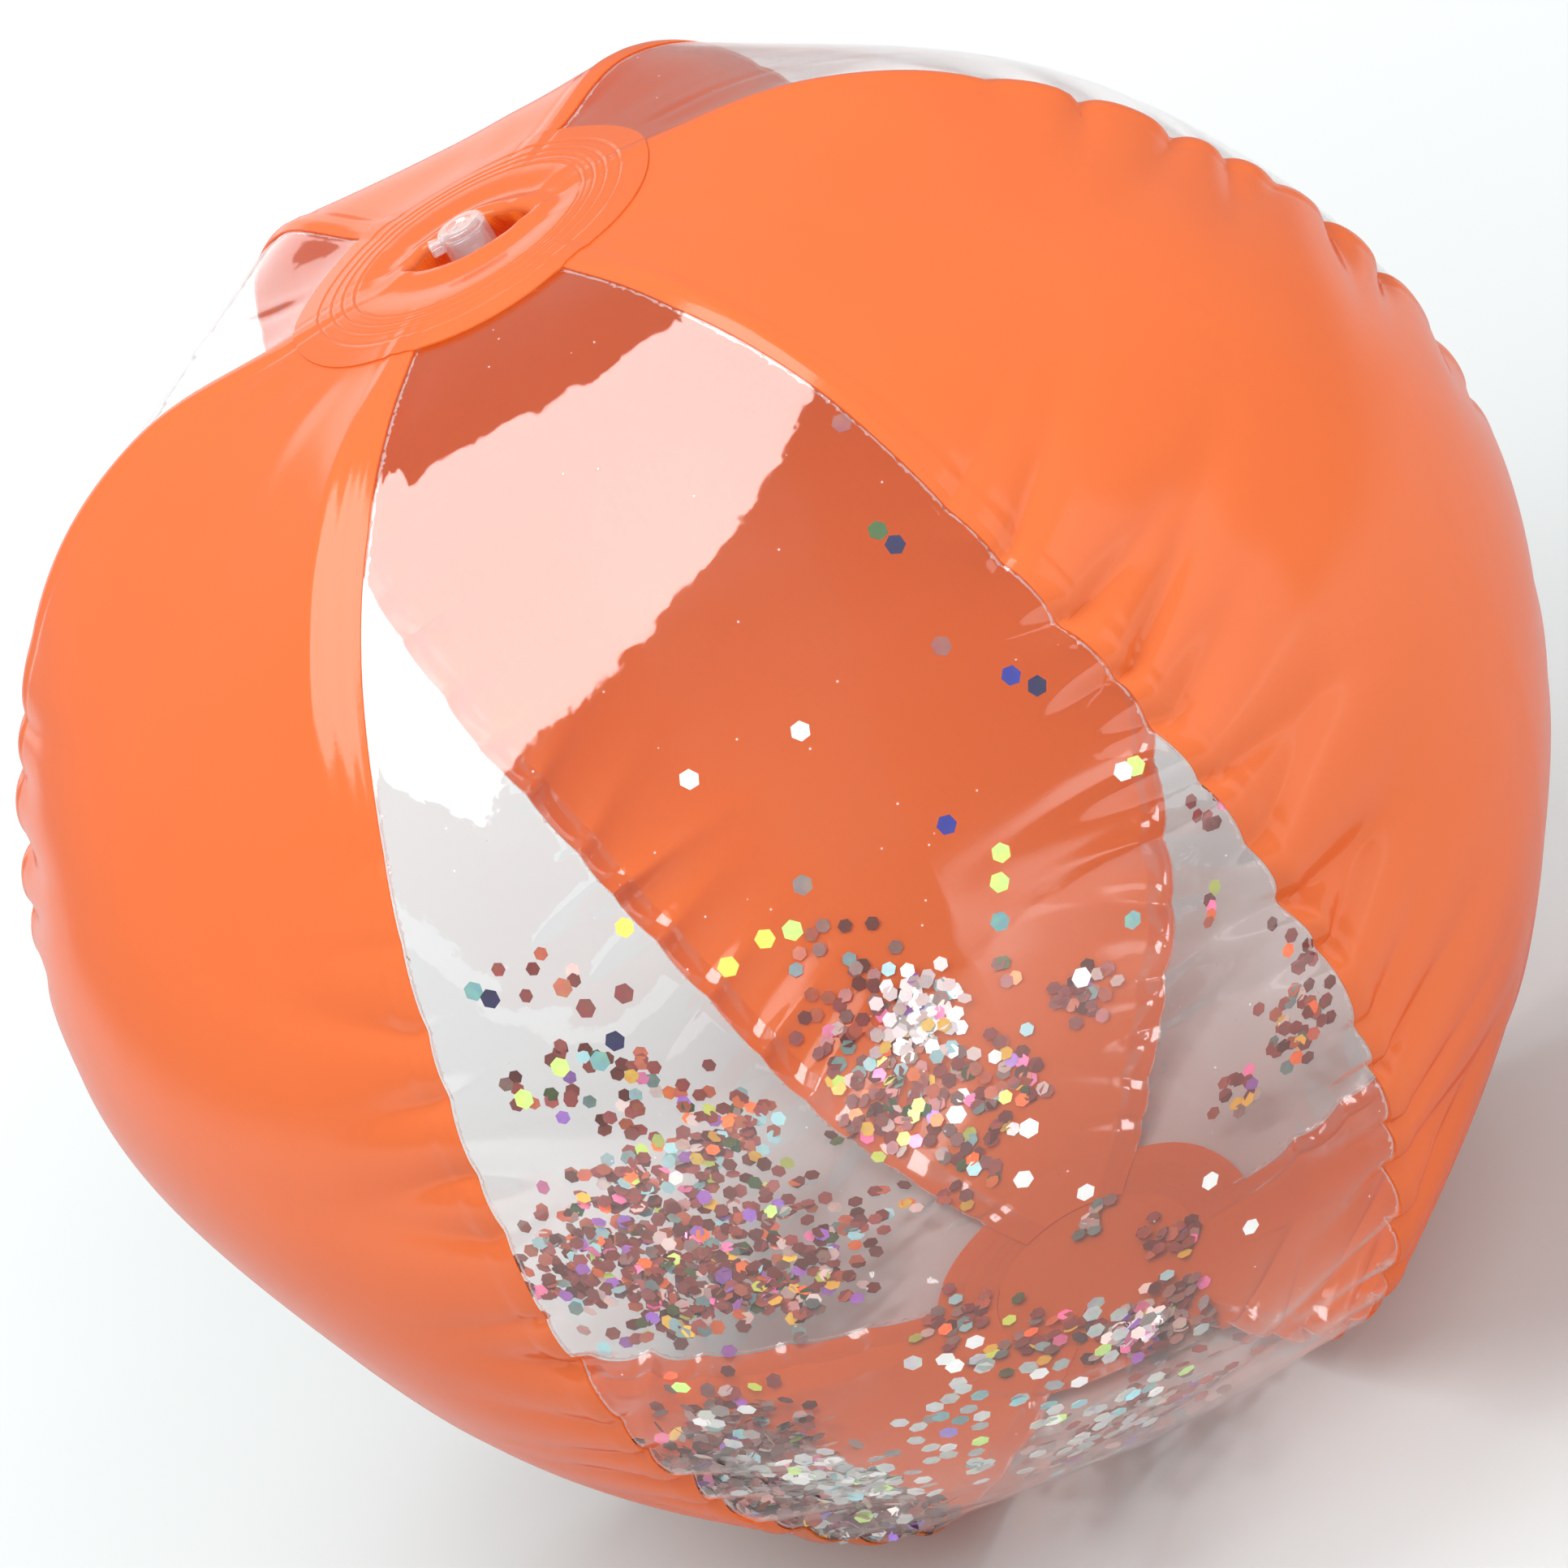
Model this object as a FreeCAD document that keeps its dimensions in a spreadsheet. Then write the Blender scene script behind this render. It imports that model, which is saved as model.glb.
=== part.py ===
"""Inflatable beach ball with glitter inside, valve pushed in at the top.

Six film gores, orange and clear in turn, are welded along their meridians and closed by a
round film disc at each pole. The top disc turns down into a small recess, with the air valve
on its floor: a stem with a hinged plug on top and a hinged check flap at the bottom.

Millimetres. +Z runs up the pole axis, the valve is at the top, a clear gore faces -Y, and the
origin is at the centre of the bottom disc's flat face. A gore's meridian is two arcs that meet
at the equator. Their centres lie on the equator's plane, a little way out from the pole axis,
and the upper one further out, so that the valve's end of the ball is the flatter one.
"""
import FreeCAD, Part
import Sketcher
import math
import os

DOC = FreeCAD.newDocument("beach_ball")

SIZES = [
    ("equator_radius", 130.0, "radius of the orange gores' inner face at the equator"),
    ("top_core", 17.0, "distance of the upper arc's centre from the pole axis"),
    ("bottom_core", 10.0, "distance of the lower arc's centre from the pole axis"),
    ("film", 0.25, "thickness of the gore and disc film"),
    ("weld_gap", 0.03, "gap between two welded layers of film"),
    ("weld_lap", 2.5, "how far a gore reaches past its seam"),
    ("tip_radius", 20.0, "distance of a gore's tips from the pole axis"),
    ("disc_radius", 32.0, "radius of the end discs"),
    ("recess_radius", 10.5, "radius of the hole in the top disc"),
    ("recess_depth", 7.0, "depth of the recess floor below the top disc"),
    ("flange_radius", 9.9, "radius of the valve's flange"),
    ("flange_thickness", 0.8, "thickness of the valve's flange"),
    ("stem_radius", 4.1, "outer radius of the valve stem"),
    ("stem_rise", 1.4, "height of the stem's top above the top disc"),
    ("stem_length", 12.0, "length of the valve stem"),
    ("bore_radius", 3.0, "radius of the bore that takes a pump nozzle"),
    ("seat_radius", 3.2, "radius of the plug's seat at the top of the stem"),
    ("seat_depth", 5.0, "depth of the plug's seat"),
    ("flex_gap", 0.05, "gap between the stem and the pieces hinged to it"),
    ("plug_head", 1.2, "thickness of the plug's head"),
    ("plug_top_radius", 3.12, "radius of the plug's shank under its head"),
    ("plug_tip_radius", 2.0, "radius of the plug's shank at its tip"),
    ("plug_shank", 4.0, "length of the plug's shank"),
    ("bead_radius", 0.35, "radius of the bead along a living hinge"),
    ("plug_hinge_reach", 5.6, "distance of the plug's hinge from the pole axis"),
    ("flap_hinge_reach", 4.5, "distance of the flap's hinge from the pole axis"),
    ("hinge_width", 3.0, "width of the two hinge straps"),
    ("strap_thickness", 0.5, "thickness of the two hinge straps"),
    ("lug_height", 1.4, "height of the lugs that carry the hinges"),
    ("lug_margin", 0.4, "how far a lug reaches past its hinge"),
    ("flap_radius", 3.9, "radius of the check flap"),
    ("flap_thickness", 0.4, "thickness of the check flap"),
    ("flake_radius", 1.5, "centre to corner of a hexagonal flake of glitter"),
    ("flake_thickness", 0.06, "thickness of a flake of glitter"),
    ("flake_standoff", 0.3, "gap between a flake and the wall it clings to"),
    ("flake_spread", 2.3, "scale of the spiral that a patch of flakes is laid on"),
]

GORE_COUNT = 6
GORE_ANGLE = 360.0 / GORE_COUNT
# A gore is first turned through this many of its own angles, and its trims reach this many radii.
TURN_SHARE = 1.5
TRIM_REACH = 2.0
GOLDEN_ANGLE = math.radians(137.508)

# Each gore's name and the heading of its middle, counted from +X towards +Y.
ORANGE_GORES = {"panel_orange_right": -30.0, "panel_orange_back": 90.0, "panel_orange_left": 210.0}
CLEAR_GORES = {"panel_clear_front": -90.0, "panel_clear_right": 30.0, "panel_clear_left": 150.0}

# Patches of glitter inside the lower wall: name, heading, latitude and number of flakes.
GLITTER_PATCHES = [
    ("glitter_heap", -139.0, -51.0, 26),
    ("glitter_front", -90.0, -28.0, 16),
    ("glitter_left", 150.0, -53.0, 26),
    ("glitter_back", 100.0, -58.0, 20),
    ("glitter_right", 30.0, -66.0, 12),
    ("glitter_bottom", -84.0, -77.0, 14),
]


class Dim:
    """A number together with the sheet formula that drives it."""

    def __init__(self, number, formula):
        self.number = number
        self.formula = formula

    def __add__(self, other):
        other = as_dim(other)
        return Dim(self.number + other.number, f"({self.formula} + {other.formula})")

    def __sub__(self, other):
        other = as_dim(other)
        return Dim(self.number - other.number, f"({self.formula} - {other.formula})")

    def __mul__(self, factor):
        return Dim(self.number * factor, f"({self.formula} * {factor!r})")

    def __neg__(self):
        return self * -1.0


def as_dim(quantity):
    """A Dim as it is, or a plain number as a constant Dim."""
    return quantity if isinstance(quantity, Dim) else Dim(float(quantity), repr(float(quantity)))


def fill_sheet():
    """Write the driving sizes into the sheet and return them as Dims."""
    sheet = DOC.addObject("Spreadsheet::Sheet", "Sizes")
    dims = {}
    for row, (alias, number, meaning) in enumerate(SIZES, start=1):
        sheet.set(f"A{row}", meaning)
        sheet.set(f"B{row}", str(number))
        sheet.setAlias(f"B{row}", alias)
        dims[alias] = Dim(number, f"Sizes.{alias}")
    DOC.recompute()
    return dims


S = fill_sheet()
ORIGIN = as_dim(0.0)

# Equator radii of the film layers' faces, from the inside out.
CLEAR_INNER = S["equator_radius"] - S["weld_gap"] - S["film"]
CLEAR_OUTER = S["equator_radius"] - S["weld_gap"]
ORANGE_INNER = S["equator_radius"]
ORANGE_OUTER = S["equator_radius"] + S["film"]
DISC_INNER = S["equator_radius"] + S["film"] + S["weld_gap"]
DISC_OUTER = DISC_INNER + S["film"]

# The ball's two ends: which way it lies from the equator, and its arc's distance from the axis.
UPPER = (1, S["top_core"])
LOWER = (-1, S["bottom_core"])

# Heights above the bottom disc's flat face.
EQUATOR_Z = DISC_OUTER - S["bottom_core"]
TOP_Z = EQUATOR_Z + DISC_OUTER - S["top_core"]
STEM_TOP_Z = TOP_Z + S["stem_rise"]
STEM_BASE_Z = STEM_TOP_Z - S["stem_length"]
FLOOR_Z = TOP_Z - S["recess_depth"]
PLUG_HINGE_Z = STEM_TOP_Z + S["flex_gap"] + S["bead_radius"]
FLAP_HINGE_Z = STEM_BASE_Z - S["flex_gap"] - S["bead_radius"]


def drive(target, path, dim):
    """Bind one property of an object to a Dim."""
    target.setExpression(path, dim.formula)


def new_body(label):
    """An empty PartDesign body with its own label."""
    body = DOC.addObject("PartDesign::Body", label)
    body.Label = label
    return body


def origin_plane(body, role):
    """One of the body's own origin planes, found by its role."""
    return next(item for item in body.Origin.OriginFeatures if item.Role == role)


def new_sketch(body, name, role):
    """An empty sketch that lies on one of the body's origin planes."""
    sketch = body.newObject("Sketcher::SketchObject", name)
    sketch.AttachmentSupport = [(origin_plane(body, role), "")]
    sketch.MapMode = "FlatFace"
    return sketch


def pin_length(sketch, kind, reference, dim):
    """Add one driven length or position constraint to a sketch."""
    index = sketch.addConstraint(Sketcher.Constraint(kind, *reference, dim.number))
    drive(sketch, f"Constraints[{index}]", dim)


def pin_point(sketch, edge, vertex, x, y):
    """Fix a sketch point by its two coordinates."""
    for kind, dim in (("DistanceX", x), ("DistanceY", y)):
        pin_length(sketch, kind, (edge, vertex), dim)


def polygon_sketch(body, name, role, corners):
    """A closed polygon, each corner driven by its two coordinates."""
    sketch = new_sketch(body, name, role)
    places = [FreeCAD.Vector(x.number, y.number, 0) for x, y in corners]
    for start, end in zip(places, places[1:] + places[:1]):
        sketch.addGeometry(Part.LineSegment(start, end), False)
    count = len(corners)
    for edge, (x, y) in enumerate(corners):
        sketch.addConstraint(Sketcher.Constraint("Coincident", edge, 2, (edge + 1) % count, 1))
        pin_point(sketch, edge, 1, x, y)
    return sketch


def band_sketch(body, name, half, inner, outer, tip, rim=None):
    """A strip of film between two arcs, in one half of the meridian's plane.

    It runs from its tip, a distance from the axis, to its rim, or to the equator without one.
    """
    side, core = half
    sketch = new_sketch(body, name, "XZ_Plane")
    middle = FreeCAD.Vector(core.number, EQUATOR_Z.number, 0)
    corners = []
    for face in (inner, outer):
        radius = face - core
        angles = [side * math.acos((reach.number - core.number) / radius.number)
                  for reach in (rim or face, tip)]
        circle = Part.Circle(middle, FreeCAD.Vector(0, 0, 1), radius.number)
        arc = sketch.addGeometry(Part.ArcOfCircle(circle, *sorted(angles)), False)
        # An arc runs anticlockwise, so its tip is its second end only in the upper half.
        rim_end, tip_end = (1, 2) if side > 0 else (2, 1)
        pin_length(sketch, "Radius", (arc,), radius)
        pin_point(sketch, arc, 3, core, EQUATOR_Z)
        pin_length(sketch, "DistanceX", (arc, tip_end), tip)
        if rim:
            pin_length(sketch, "DistanceX", (arc, rim_end), rim)
        else:
            pin_length(sketch, "DistanceY", (arc, rim_end), EQUATOR_Z)
        corners.append([middle + FreeCAD.Vector(math.cos(a), math.sin(a), 0) * radius.number
                        for a in sorted(angles)])
    for end in (1, 2):
        edge = sketch.addGeometry(Part.LineSegment(corners[0][end - 1], corners[1][end - 1]), False)
        sketch.addConstraint(Sketcher.Constraint("Coincident", edge, 1, 0, end))
        sketch.addConstraint(Sketcher.Constraint("Coincident", edge, 2, 1, end))
    return sketch


def revolve(body, name, sketch, angle=360.0):
    """Turn a sketch about the pole axis, evenly to both sides of it."""
    feature = body.newObject("PartDesign::Revolution", name)
    feature.Profile = sketch
    feature.ReferenceAxis = (sketch, ["V_Axis"])
    feature.Angle = angle
    feature.Midplane = angle < 360.0
    return feature


def make_gore(label, heading, inner, outer):
    """One gore: two turned strips, trimmed to an even lap past each of the two seams."""
    body = new_body(label)
    for end_name, half in (("_upper", UPPER), ("_lower", LOWER)):
        meridian = band_sketch(body, label + end_name + "_meridian", half, inner, outer,
                               S["tip_radius"])
        revolve(body, label + end_name + "_film", meridian, GORE_ANGLE * TURN_SHARE)
    slope = math.radians(GORE_ANGLE / 2)
    far = S["equator_radius"] * TRIM_REACH
    for side in (1.0, -1.0):
        # The cut starts along a line parallel to the seam and one lap away from it.
        lap_x = S["weld_lap"] * -math.sin(slope)
        lap_y = S["weld_lap"] * (side * math.cos(slope))
        near_end = (lap_x, lap_y)
        far_end = (lap_x + far * math.cos(slope), lap_y + far * (side * math.sin(slope)))
        beyond = (lap_x, far * side)
        side_name = "_trim_left" if side > 0 else "_trim_right"
        trim = body.newObject("PartDesign::Pocket", label + side_name)
        trim.Profile = polygon_sketch(body, label + side_name + "_outline", "XY_Plane",
                                      [near_end, far_end, beyond])
        trim.Type = "ThroughAll"
        trim.Reversed = True
    body.Placement = FreeCAD.Placement(FreeCAD.Vector(),
                                       FreeCAD.Rotation(FreeCAD.Vector(0, 0, 1), heading))
    return body


def make_end_disc(label, half, hole):
    """An end disc: a flat middle that runs on into the meridian's curve."""
    side, core = half
    body = new_body(label)
    faces = [EQUATOR_Z + (face - core) * side for face in (DISC_INNER, DISC_OUTER)]
    flat = [(hole, faces[0]), (core, faces[0]), (core, faces[1]), (hole, faces[1])]
    revolve(body, label + "_middle", polygon_sketch(body, label + "_flat", "XZ_Plane", flat))
    curve = band_sketch(body, label + "_curve", half, DISC_INNER, DISC_OUTER, core, S["disc_radius"])
    revolve(body, label + "_border", curve)
    return body


def make_cuff():
    """The soft orange cuff: the recess wall, from the top disc down to the valve's flange."""
    body = new_body("valve_cuff")
    top = TOP_Z - S["film"] - S["weld_gap"]
    base = FLOOR_Z + S["weld_gap"]
    wall = [(S["recess_radius"], top), (S["flange_radius"] - S["film"], base),
            (S["flange_radius"], base), (S["recess_radius"] + S["film"], top)]
    revolve(body, "valve_cuff_wall", polygon_sketch(body, "valve_cuff_section", "XZ_Plane", wall))
    return body


def make_lug(body, name, reach, low, high):
    """A small lug on the stem's -X side that carries a hinge."""
    wall_middle = -(S["bore_radius"] + S["stem_radius"]) * 0.5
    outline = [(-(reach + S["lug_margin"]), low), (wall_middle, low),
               (wall_middle, high), (-(reach + S["lug_margin"]), high)]
    lug = body.newObject("PartDesign::Pad", name)
    lug.Profile = polygon_sketch(body, name + "_outline", "XZ_Plane", outline)
    lug.Midplane = True
    drive(lug, "Length", S["hinge_width"])


def make_stem():
    """The valve stem: a tube with the plug's seat, the nozzle bore, a flange and two lugs."""
    body = new_body("valve_stem")
    flange_base = FLOOR_Z - S["flange_thickness"]
    seat_base = STEM_TOP_Z - S["seat_depth"]
    section = [(S["bore_radius"], STEM_BASE_Z), (S["stem_radius"], STEM_BASE_Z),
               (S["stem_radius"], flange_base), (S["flange_radius"], flange_base),
               (S["flange_radius"], FLOOR_Z), (S["stem_radius"], FLOOR_Z),
               (S["stem_radius"], STEM_TOP_Z), (S["seat_radius"], STEM_TOP_Z),
               (S["seat_radius"], seat_base), (S["bore_radius"], seat_base)]
    revolve(body, "valve_stem_tube", polygon_sketch(body, "valve_stem_section", "XZ_Plane", section))
    make_lug(body, "plug_lug", S["plug_hinge_reach"], STEM_TOP_Z - S["lug_height"], STEM_TOP_Z)
    make_lug(body, "flap_lug", S["flap_hinge_reach"], STEM_BASE_Z, STEM_BASE_Z + S["lug_height"])
    return body


def make_plug():
    """The plug: a flat head on a tapered shank that fills the seat."""
    body = new_body("valve_plug")
    head_base = STEM_TOP_Z + S["flex_gap"]
    head_top = head_base + S["plug_head"]
    tip = head_base - S["plug_shank"]
    section = [(ORIGIN, tip), (S["plug_tip_radius"], tip), (S["plug_top_radius"], head_base),
               (S["stem_radius"], head_base), (S["stem_radius"], head_top), (ORIGIN, head_top)]
    revolve(body, "valve_plug_turned", polygon_sketch(body, "valve_plug_section", "XZ_Plane", section))
    return body


def add_cylinder(name, radius, height, place, rotation=FreeCAD.Rotation()):
    """A cylinder primitive, driven in radius, height and place."""
    cylinder = DOC.addObject("Part::Cylinder", name)
    drive(cylinder, "Radius", radius)
    drive(cylinder, "Height", height)
    cylinder.Placement.Rotation = rotation
    put(cylinder, place)
    return cylinder


def put(item, place):
    """Bind an object's position to three Dims."""
    for letter, dim in zip("xyz", place):
        drive(item, f"Placement.Base.{letter}", dim)


def hinge_strap(name, reach, height, end_reach):
    """A thin strap from a hinge bead on the -X side in towards the axis, with its bead."""
    half_width = S["hinge_width"] * 0.5
    plate = DOC.addObject("Part::Box", name + "_plate")
    drive(plate, "Length", reach - end_reach)
    drive(plate, "Width", S["hinge_width"])
    drive(plate, "Height", S["strap_thickness"])
    put(plate, (-reach, -half_width, height - S["strap_thickness"] * 0.5))
    along_y = FreeCAD.Rotation(FreeCAD.Vector(1, 0, 0), -90)
    bead = add_cylinder(name + "_bead", S["bead_radius"], S["hinge_width"],
                        (-reach, -half_width, height), along_y)
    return plate, bead


def make_plug_strap():
    """The strap that ties the plug's head to its hinge."""
    plate, bead = hinge_strap("plug_strap", S["plug_hinge_reach"], PLUG_HINGE_Z, S["seat_radius"])
    whole = DOC.addObject("Part::MultiFuse", "plug_strap_whole")
    whole.Shapes = [plate, bead]
    head = add_cylinder("plug_head_space", S["stem_radius"], S["plug_head"],
                        (ORIGIN, ORIGIN, STEM_TOP_Z + S["flex_gap"]))
    strap = DOC.addObject("Part::Cut", "plug_strap")
    strap.Base = whole
    strap.Tool = head
    strap.Label = "plug_strap"
    return strap


def make_flap():
    """The check flap: a soft disc under the stem, hinged at its -X edge."""
    disc = add_cylinder("flap_disc", S["flap_radius"], S["flap_thickness"],
                        (ORIGIN, ORIGIN, FLAP_HINGE_Z - S["flap_thickness"] * 0.5))
    plate, bead = hinge_strap("flap_strap", S["flap_hinge_reach"], FLAP_HINGE_Z, S["bore_radius"])
    flap = DOC.addObject("Part::MultiFuse", "check_flap")
    flap.Shapes = [disc, plate, bead]
    flap.Label = "check_flap"
    return flap


def make_glitter(label, heading, latitude, count):
    """A patch of loose hexagonal flakes that cling to the inside of the wall."""
    core = S["bottom_core"].number
    arc_radius = (CLEAR_INNER - S["flake_standoff"] - S["flake_thickness"]).number - core
    centre_latitude = math.radians(latitude)
    ring_radius = core + arc_radius * math.cos(centre_latitude)
    flakes = []
    for step in range(1, count + 1):
        out = S["flake_spread"].number * math.sqrt(step)
        turn = step * GOLDEN_ANGLE
        lat = centre_latitude + out * math.sin(turn) / arc_radius
        lon = math.radians(heading) + out * math.cos(turn) / ring_radius
        outward = FreeCAD.Vector(math.cos(lat) * math.cos(lon), math.cos(lat) * math.sin(lon),
                                 math.sin(lat))
        foot = FreeCAD.Vector(core * math.cos(lon), core * math.sin(lon), EQUATOR_Z.number)
        flake = DOC.addObject("Part::Prism", f"{label}_{step}")
        flake.Polygon = 6
        drive(flake, "Circumradius", S["flake_radius"])
        drive(flake, "Height", S["flake_thickness"])
        facing = FreeCAD.Rotation(FreeCAD.Vector(0, 0, 1), outward)
        flake.Placement = FreeCAD.Placement(foot + outward * arc_radius, facing)
        flakes.append(flake)
    patch = DOC.addObject("Part::Compound", label)
    patch.Links = flakes
    patch.Label = label
    return patch


def make_parts():
    """Every piece of the ball, in the order of its assembly."""
    parts = [make_gore(label, heading, ORANGE_INNER, ORANGE_OUTER)
             for label, heading in ORANGE_GORES.items()]
    parts += [make_gore(label, heading, CLEAR_INNER, CLEAR_OUTER)
              for label, heading in CLEAR_GORES.items()]
    parts.append(make_end_disc("end_disc_bottom", LOWER, ORIGIN))
    parts.append(make_end_disc("end_disc_top", UPPER, S["recess_radius"]))
    parts += [make_cuff(), make_stem(), make_plug(), make_plug_strap(), make_flap()]
    parts += [make_glitter(*patch) for patch in GLITTER_PATCHES]
    return parts


def check(parts):
    """Stop if any object failed to build or any piece is not a sound solid."""
    for item in DOC.Objects:
        if "Invalid" in item.State or "Error" in item.State:
            raise RuntimeError(f"{item.Label} did not build: {item.State}")
    for part in parts:
        if part.Shape.isNull() or not part.Shape.isValid() or not part.Shape.Solids:
            raise RuntimeError(f"{part.Label} has no sound shape")


def write(parts):
    """One STEP file for each piece, named after it."""
    os.makedirs("parts", exist_ok=True)
    for part in parts:
        part.Shape.exportStep(f"parts/{part.Label}.step")
        box = part.Shape.BoundBox
        print(f"{part.Label}: {len(part.Shape.Solids)} solid(s), {part.Shape.Volume:.1f} mm3, "
              f"z {box.ZMin:.2f} to {box.ZMax:.2f}")


PARTS = make_parts()
DOC.recompute()
check(PARTS)
write(PARTS)
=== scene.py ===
"""Looks of the inflatable glitter beach ball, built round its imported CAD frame.

Metres, +Z up the pole axis with the valve on top, a clear gore facing -Y. Every film piece is
cut from one wall: two meridian arcs that meet at the equator, plus the shape that air pressure
and the welds give it, which film_relief works out from latitude and heading.
"""

import math

import bpy
import numpy as np
from mathutils import Matrix, Vector


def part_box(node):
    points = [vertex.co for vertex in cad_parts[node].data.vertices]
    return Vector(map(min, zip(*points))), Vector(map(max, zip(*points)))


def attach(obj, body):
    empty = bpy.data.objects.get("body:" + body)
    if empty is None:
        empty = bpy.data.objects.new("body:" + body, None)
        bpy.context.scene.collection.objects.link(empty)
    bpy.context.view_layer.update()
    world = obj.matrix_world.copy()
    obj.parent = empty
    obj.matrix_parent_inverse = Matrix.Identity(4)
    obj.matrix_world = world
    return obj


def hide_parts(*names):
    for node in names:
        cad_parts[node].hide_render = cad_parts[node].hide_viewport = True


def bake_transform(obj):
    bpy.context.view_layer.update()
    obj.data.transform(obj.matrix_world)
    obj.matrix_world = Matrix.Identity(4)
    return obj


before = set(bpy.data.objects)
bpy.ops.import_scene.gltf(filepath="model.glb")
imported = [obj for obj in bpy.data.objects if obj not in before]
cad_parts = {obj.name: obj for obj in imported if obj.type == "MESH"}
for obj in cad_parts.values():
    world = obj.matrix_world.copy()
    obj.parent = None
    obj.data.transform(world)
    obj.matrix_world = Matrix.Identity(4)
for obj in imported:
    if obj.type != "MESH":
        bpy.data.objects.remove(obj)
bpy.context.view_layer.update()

MM = 0.001
SEED = 7

# ---------------------------------------------------------------- sizes, from the frame

SEAM_COUNT = 6
SEAM_STEP = 2 * math.pi / SEAM_COUNT
FILM = 0.25 * MM
WELD_GAP = 0.03 * MM
WELD_LAP = 2.5 * MM
TIP_RADIUS = 20 * MM
TOP_CORE = 17 * MM
BOTTOM_CORE = 10 * MM

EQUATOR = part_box("panel_orange_back")[1][1]
BASE_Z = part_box("end_disc_bottom")[0][2]
DISC_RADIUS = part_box("end_disc_top")[1][0]
DISC_LIFT = WELD_GAP + FILM
EQUATOR_Z = BASE_Z + EQUATOR + DISC_LIFT - BOTTOM_CORE
STEM_LOW, STEM_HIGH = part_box("valve_stem")
PLUG_LOW, PLUG_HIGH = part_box("valve_plug")
STRAP_LOW, STRAP_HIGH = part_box("plug_strap")
FLOOR_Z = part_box("valve_cuff")[0][2]
STEM_TOP = STEM_HIGH[2]
PLUG_RADIUS = PLUG_HIGH[0]
FLANGE_RADIUS = STEM_HIGH[0]
BORE_RADIUS = 3.0 * MM


# ---------------------------------------------------------------- the wall's shape

def core_of(arc):
    """How far from the axis the meridian arc's centre lies, above and below the equator."""
    return np.where(arc >= 0, TOP_CORE, BOTTOM_CORE)


def ring_radius(arc):
    """Distance from the axis at an arc angle counted from the equator."""
    core = core_of(arc)
    return core + (EQUATOR - core) * np.cos(arc)


def run_along(arc):
    """Length along the meridian from the equator."""
    return (EQUATOR - core_of(arc)) * arc


def arc_at_radius(radius, side):
    """Arc angle at which the wall is this far from the axis, towards one pole."""
    core = TOP_CORE if side > 0 else BOTTOM_CORE
    return side * math.acos((radius - core) / (EQUATOR - core))


# Where each seam's puckers start and how quickly they deepen, as lengths up the meridian from
# the equator. The seams at headings -60 and -120 degrees are the last two.
PUCKER_START = [113 * MM, 100 * MM, 98 * MM, 100 * MM, 78 * MM, 88 * MM]
PUCKER_RAMP = [18 * MM, 30 * MM, 30 * MM, 30 * MM, 60 * MM, 42 * MM]


def make_puckers():
    """The creases that pull in each seam: a list for each seam, from top to bottom."""
    rng = np.random.default_rng(SEED)
    seams = []
    for index, (start, ramp) in enumerate(zip(PUCKER_START, PUCKER_RAMP)):
        boost, far = (1.45, (10, 26)) if index == 5 else (1.0, (0, 0))
        puckers = []
        place = start - rng.uniform(1, 8) * MM
        while place > -168 * MM:
            strength = np.clip((start - place) / ramp, 0.2, 1.0)
            if place < -135 * MM:
                strength *= 0.6
            puckers.append({
                "run": place,
                "depth": rng.uniform(1.2, 3.0) * MM * strength * boost,
                "width": rng.uniform(1.3, 2.9) * MM,
                "reach": np.maximum(rng.uniform(12, 30, size=2), far) * MM,
                "skew": rng.uniform(-0.45, 0.25, size=2),
                "shift": rng.uniform(-0.8, 0.8) * MM * strength,
            })
            place -= rng.uniform(9.5, 16.5) * MM
        seams.append(puckers)
    return seams


PUCKERS = make_puckers()


def make_pole_creases():
    """Faint folds that fan out from the top disc: heading, width, height, start and reach."""
    rng = np.random.default_rng(SEED + 5)
    return [(rng.uniform(0, 2 * math.pi), rng.uniform(1.6, 4.0) * MM, rng.uniform(-0.5, 0.5) * MM,
             DISC_RADIUS + 1.0 * MM, rng.uniform(10, 26) * MM) for _ in range(34)]


POLE_CREASES = make_pole_creases()


def cusp(x):
    """A narrow peak of height 1 with a slightly rounded tip."""
    return np.exp(0.3 - np.sqrt(x * x + 0.09))


# How far each seam wanders from its plain line, as (run, sideways) in millimetres.
SEAM_DRIFT = [
    [(-170, 0.0), (170, 0.0)],
    [(-170, 3.0), (-144, 3.6), (-117, 1.0), (-90, 0.8), (-70, -1.0), (0, 0.0), (170, 0.0)],
    [(-170, -1.8), (-140, -2.6), (-117, -2.2), (-95, -4.0), (-60, -4.9), (-35, -4.4),
     (-10, -2.2), (40, -2.0), (90, -1.0), (170, 0.0)],
    [(-170, -6.0), (-150, -8.2), (-130, -8.8), (-110, -7.4), (-85, -5.0), (-40, -2.0),
     (0, 0.0), (170, 0.0)],
    [(-170, 0.0), (-110, -3.6), (-62, -5.0), (-40, -2.6), (-15, 0.9), (10, 3.9), (40, 5.2),
     (85, 5.6), (125, 5.0), (142, 3.8), (165, 1.0)],
    [(-170, 0.0), (-110, 4.0), (-69, 5.3), (-30, 6.1), (-5, 5.5), (23, 3.5), (50, 2.2),
     (80, 0.9), (105, 0.9), (135, -0.4), (165, 0.0)],
]


def seam_drift(seam, run):
    """How far a seam wanders sideways in broad curves."""
    places, drifts = np.array(SEAM_DRIFT[seam % SEAM_COUNT], float).T * MM
    return np.interp(run, places, drifts)


def seam_shift(seam, run):
    """How far a seam's weld strays sideways, with the tug of its puckers."""
    shift = seam_drift(seam, run)
    for pucker in PUCKERS[seam % SEAM_COUNT]:
        shift += pucker["shift"] * cusp((run - pucker["run"]) / (4 * MM))
    return shift


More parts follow.
